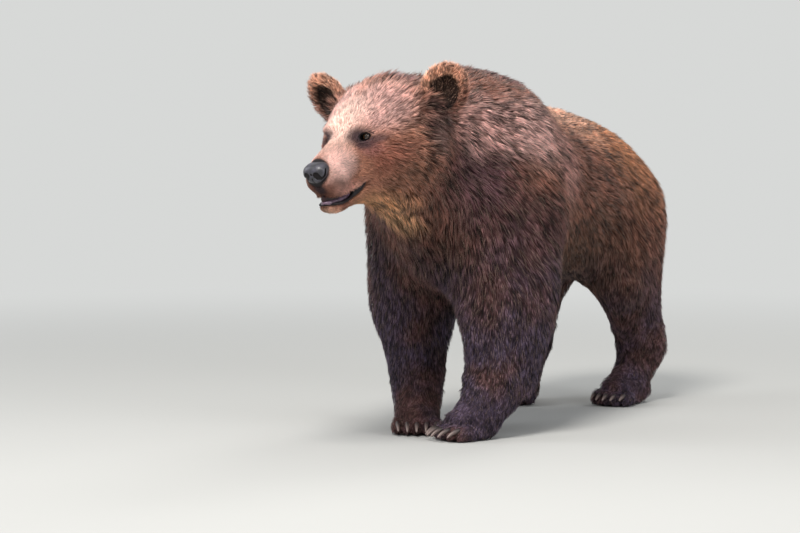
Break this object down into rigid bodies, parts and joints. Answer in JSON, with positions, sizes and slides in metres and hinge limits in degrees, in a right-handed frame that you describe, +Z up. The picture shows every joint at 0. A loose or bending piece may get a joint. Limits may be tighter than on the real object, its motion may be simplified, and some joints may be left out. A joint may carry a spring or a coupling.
{
  "type": "brown bear",
  "caption": "Life-size still model of a brown bear standing on all four feet, head turned to its right, mouth slightly open.",
  "frame": {"origin": "on the floor, under the middle of the bear's bounding box", "axes": "the bear faces -Y, its left side is +X, +Z is up"},
  "size_m": [0.5768, 1.9768, 1.0199],
  "materials": {
    "face_fur": "short golden-tan fur, paler on the bridge of the nose and the chin",
    "body_fur": "long brown fur with dark roots and lighter, slightly glossy tips",
    "leg_fur": "very dark brown fur, shorter towards the feet",
    "tail_fur": "ginger-brown fur",
    "nose_skin": "pebbled slate-black skin, moist",
    "eye": "wet dark brown eye",
    "claw": "smooth dark horn, paler at the point",
    "mouth_skin": "wet purple-pink tongue"
  },
  "bodies": {
    "root": {"front_left_claw_1": "claw", "front_left_claw_2": "claw", "front_left_claw_3": "claw", "front_left_claw_4": "claw", "front_left_claw_5": "claw", "front_left_forearm": "leg_fur", "front_left_paw": "leg_fur", "front_left_upper_leg": "body_fur", "front_right_claw_1": "claw", "front_right_claw_2": "claw", "front_right_claw_3": "claw", "front_right_claw_4": "claw", "front_right_claw_5": "claw", "front_right_forearm": "leg_fur", "front_right_paw": "leg_fur", "front_right_upper_leg": "body_fur", "head": "face_fur", "hind_left_claw_1": "claw", "hind_left_claw_2": "claw", "hind_left_claw_3": "claw", "hind_left_claw_4": "claw", "hind_left_claw_5": "claw", "hind_left_paw": "leg_fur", "hind_left_shank": "leg_fur", "hind_left_thigh": "body_fur", "hind_right_claw_1": "claw", "hind_right_claw_2": "claw", "hind_right_claw_3": "claw", "hind_right_claw_4": "claw", "hind_right_claw_5": "claw", "hind_right_paw": "leg_fur", "hind_right_shank": "leg_fur", "hind_right_thigh": "body_fur", "left_ear": "body_fur", "left_eye": "eye", "lower_jaw": "face_fur", "muzzle": "face_fur", "neck": "body_fur", "nose": "nose_skin", "right_ear": "body_fur", "right_eye": "eye", "tail": "tail_fur", "tongue": "mouth_skin", "trunk": "body_fur"}
  },
  "joints": []
}
